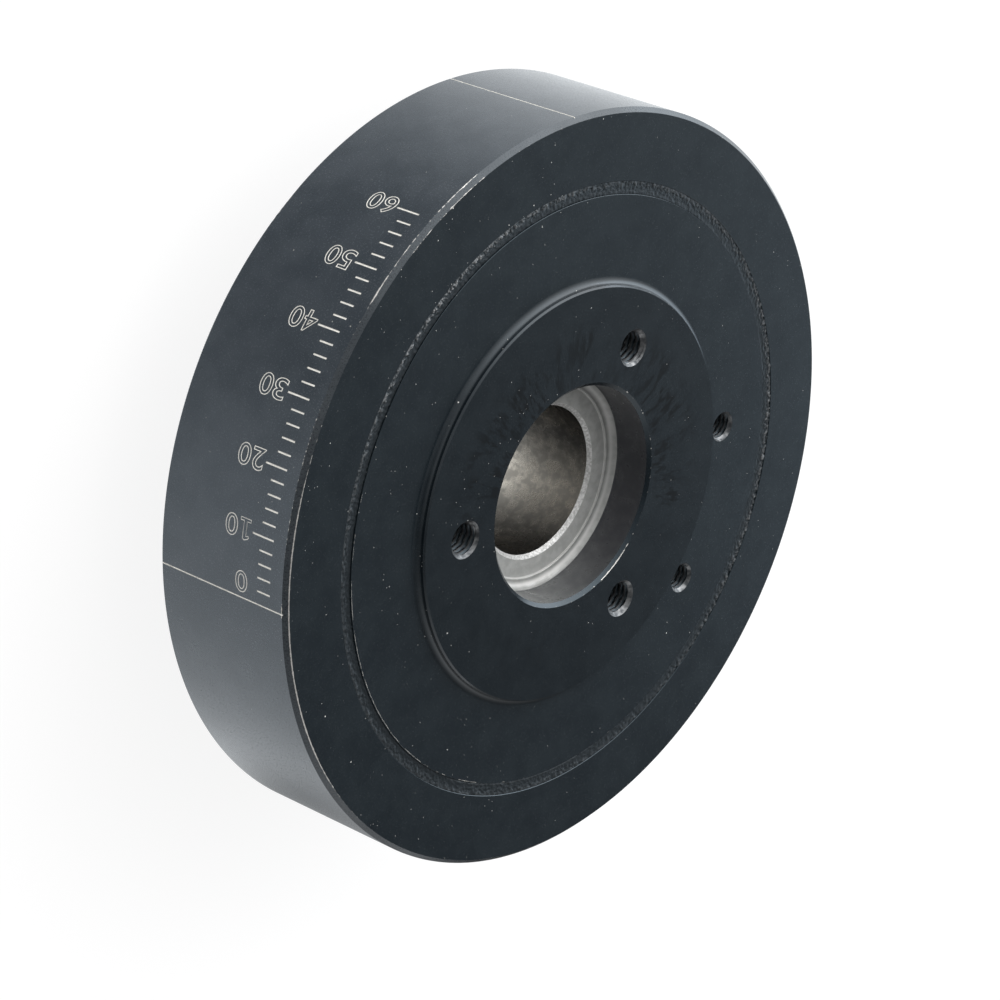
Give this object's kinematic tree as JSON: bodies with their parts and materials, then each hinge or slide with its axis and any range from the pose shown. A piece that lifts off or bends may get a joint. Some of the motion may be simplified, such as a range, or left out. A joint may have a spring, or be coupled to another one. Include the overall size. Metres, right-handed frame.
{
  "type": "harmonic balancer",
  "caption": "Crankshaft harmonic balancer: steel hub with a raised pulley boss and keyed bore, rubber band, and an outer inertia ring with an engraved timing scale.",
  "frame": {"origin": "on the crank axis at the rear end of the hub's sleeve, which stands against the timing gear", "axes": "+Z along the crank axis towards the engine's front, -X through the timing scale's zero line, +Y through its quarter-turn line"},
  "size_m": [0.2032, 0.2032, 0.0708],
  "materials": {
    "hub_steel": "satin blue-black coating, with the crank bore and pulley counterbore left bright",
    "black_rubber": "matt, rough",
    "ring_steel": "satin blue-black coating over fine turning marks, with bright engraved lines"
  },
  "bodies": {
    "root": {"hub": "hub_steel", "elastomer_ring": "black_rubber", "inertia_ring": "ring_steel"}
  },
  "joints": []
}
